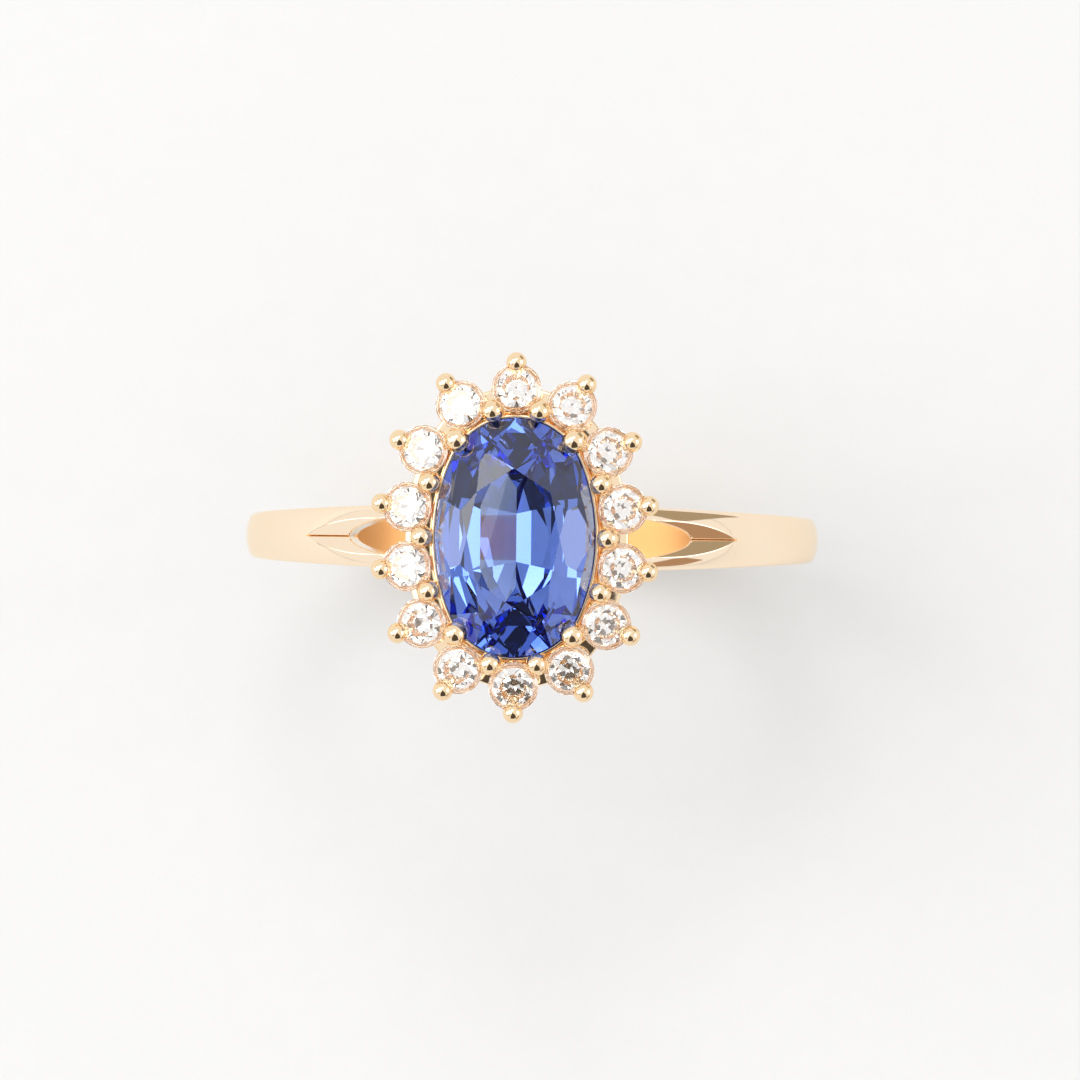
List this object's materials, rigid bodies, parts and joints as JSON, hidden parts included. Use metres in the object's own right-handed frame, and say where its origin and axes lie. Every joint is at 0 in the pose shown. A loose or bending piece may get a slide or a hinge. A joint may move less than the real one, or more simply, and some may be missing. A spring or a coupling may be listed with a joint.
{
  "type": "engagement ring",
  "caption": "Oval blue centre stone in a beaded-claw halo of small round white stones, on a slim yellow gold shank with split shoulders.",
  "frame": {"origin": "centre of the finger hole", "axes": "+Y along the finger, +Z from the finger hole's centre up to the head, +X across the shoulders"},
  "size_m": [0.0202, 0.0126, 0.0221],
  "materials": {
    "yellow_gold": "polished",
    "sapphire": "polished",
    "diamond": "polished"
  },
  "bodies": {
    "root": {"shank": "yellow_gold", "base_rail": "yellow_gold", "stone_rail": "yellow_gold", "halo_rail": "yellow_gold", "halo_cups": "yellow_gold", "centre_sapphire": "sapphire", "halo_diamond_01": "diamond", "halo_diamond_02": "diamond", "halo_diamond_03": "diamond", "halo_diamond_04": "diamond", "halo_diamond_05": "diamond", "halo_diamond_06": "diamond", "halo_diamond_07": "diamond", "halo_diamond_08": "diamond", "halo_diamond_09": "diamond", "halo_diamond_10": "diamond", "halo_diamond_11": "diamond", "halo_diamond_12": "diamond", "halo_diamond_13": "diamond", "halo_diamond_14": "diamond", "inner_claw_01": "yellow_gold", "inner_claw_02": "yellow_gold", "inner_claw_03": "yellow_gold", "inner_claw_04": "yellow_gold", "inner_claw_05": "yellow_gold", "inner_claw_06": "yellow_gold", "inner_claw_07": "yellow_gold", "inner_claw_08": "yellow_gold", "inner_claw_09": "yellow_gold", "inner_claw_10": "yellow_gold", "inner_claw_11": "yellow_gold", "inner_claw_12": "yellow_gold", "inner_claw_13": "yellow_gold", "inner_claw_14": "yellow_gold", "outer_claw_01": "yellow_gold", "outer_claw_02": "yellow_gold", "outer_claw_03": "yellow_gold", "outer_claw_04": "yellow_gold", "outer_claw_05": "yellow_gold", "outer_claw_06": "yellow_gold", "outer_claw_07": "yellow_gold", "outer_claw_08": "yellow_gold", "outer_claw_09": "yellow_gold", "outer_claw_10": "yellow_gold", "outer_claw_11": "yellow_gold", "outer_claw_12": "yellow_gold", "outer_claw_13": "yellow_gold", "outer_claw_14": "yellow_gold"}
  },
  "joints": []
}
